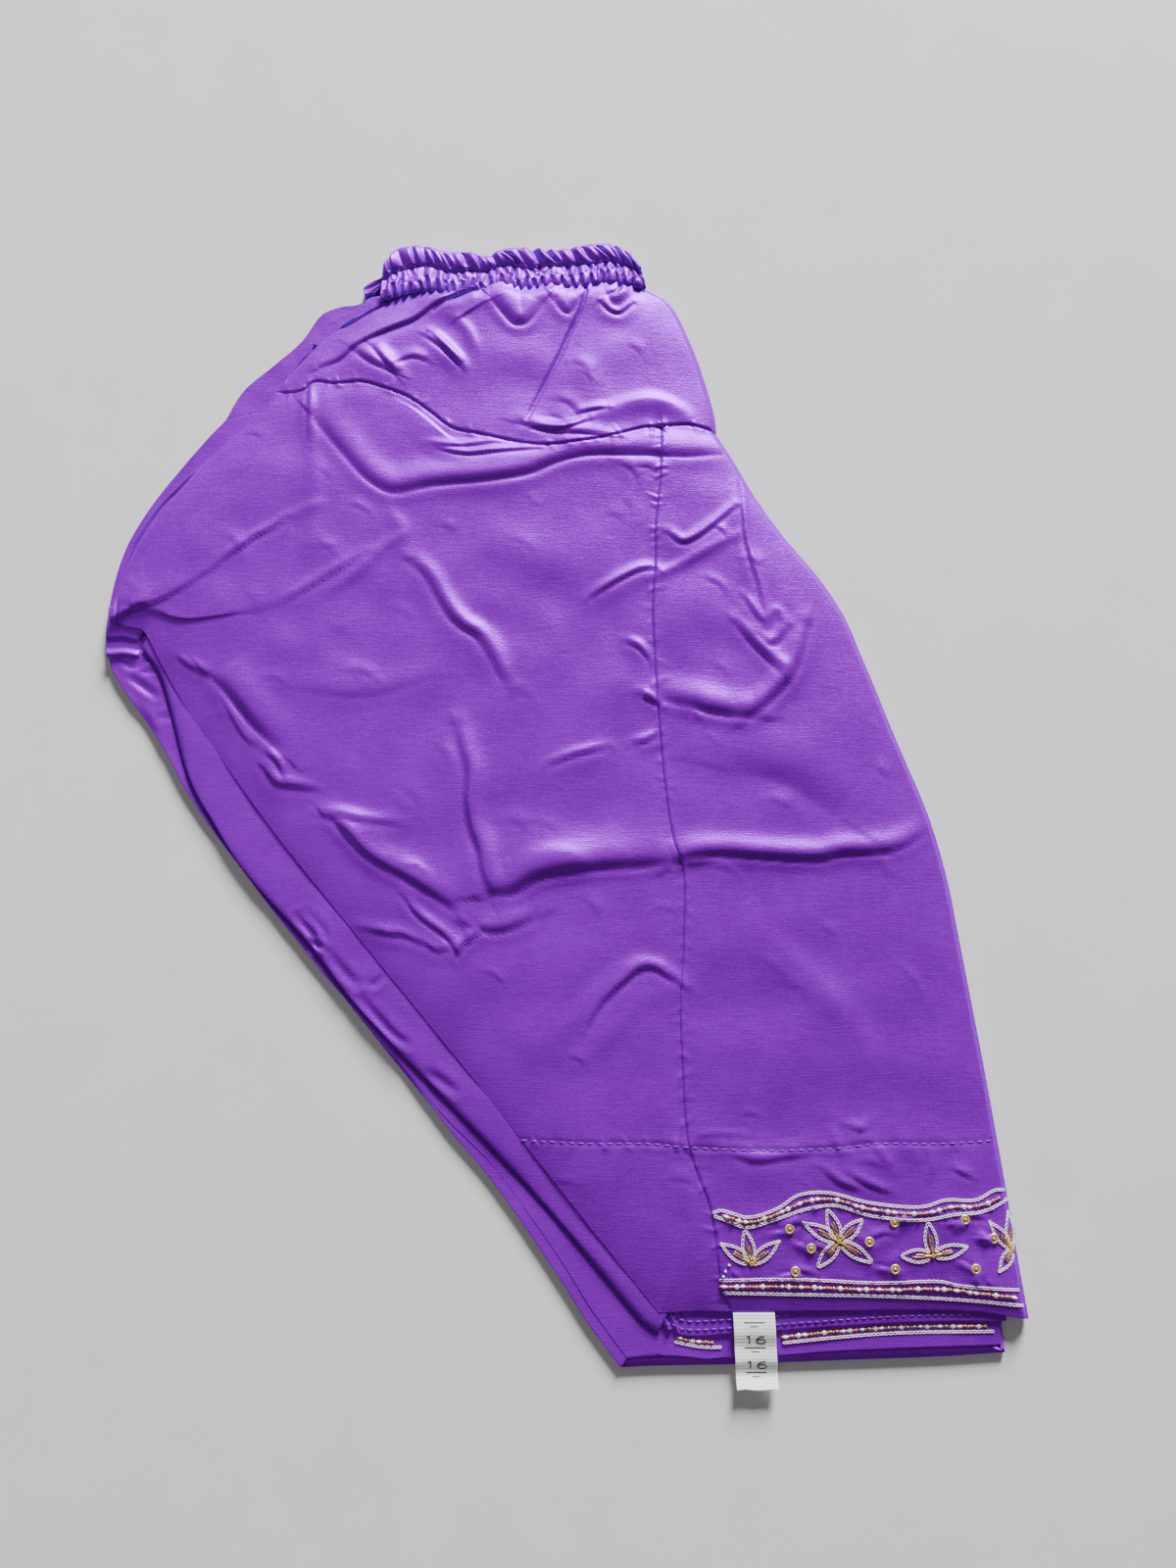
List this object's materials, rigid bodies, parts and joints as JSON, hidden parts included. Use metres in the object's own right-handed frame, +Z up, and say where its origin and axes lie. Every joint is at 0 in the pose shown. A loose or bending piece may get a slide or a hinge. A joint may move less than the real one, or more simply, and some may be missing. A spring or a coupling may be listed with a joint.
{
  "type": "folded salwar trousers",
  "caption": "Child's satin salwar trousers folded flat in half: gathered elastic waistband, yoke, gored legs, embroidered hem border and a size label.",
  "frame": {"origin": "middle of the footprint, on the surface that the folded garment lies on", "axes": "+X across to the outer fold, +Y from the hems to the waistband, +Z up from the surface"},
  "size_m": [0.3919, 0.5027, 0.011],
  "materials": {
    "satin": "violet polyester satin, glossy face",
    "label_tape": "white woven label tape, matt",
    "gold_thread": "pale gold metallised thread, chain stitched",
    "gold_bead": "polished gold studs, sequins and bullion wire"
  },
  "bodies": {
    "root": {"folded_core": "satin", "waistband_under": "satin", "yoke_under": "satin", "gore_front_under": "satin", "gore_back_under": "satin", "centre_panel_under": "satin", "gore_back_upper": "satin", "hem_facing_upper": "satin", "yoke_turn_under": "satin", "crotch_lip_upper": "satin", "crotch_lip_under": "satin", "yoke_upper": "satin", "gore_front_upper": "satin", "centre_panel_upper": "satin", "waistband_upper": "satin", "size_label": "label_tape"}
  },
  "joints": []
}
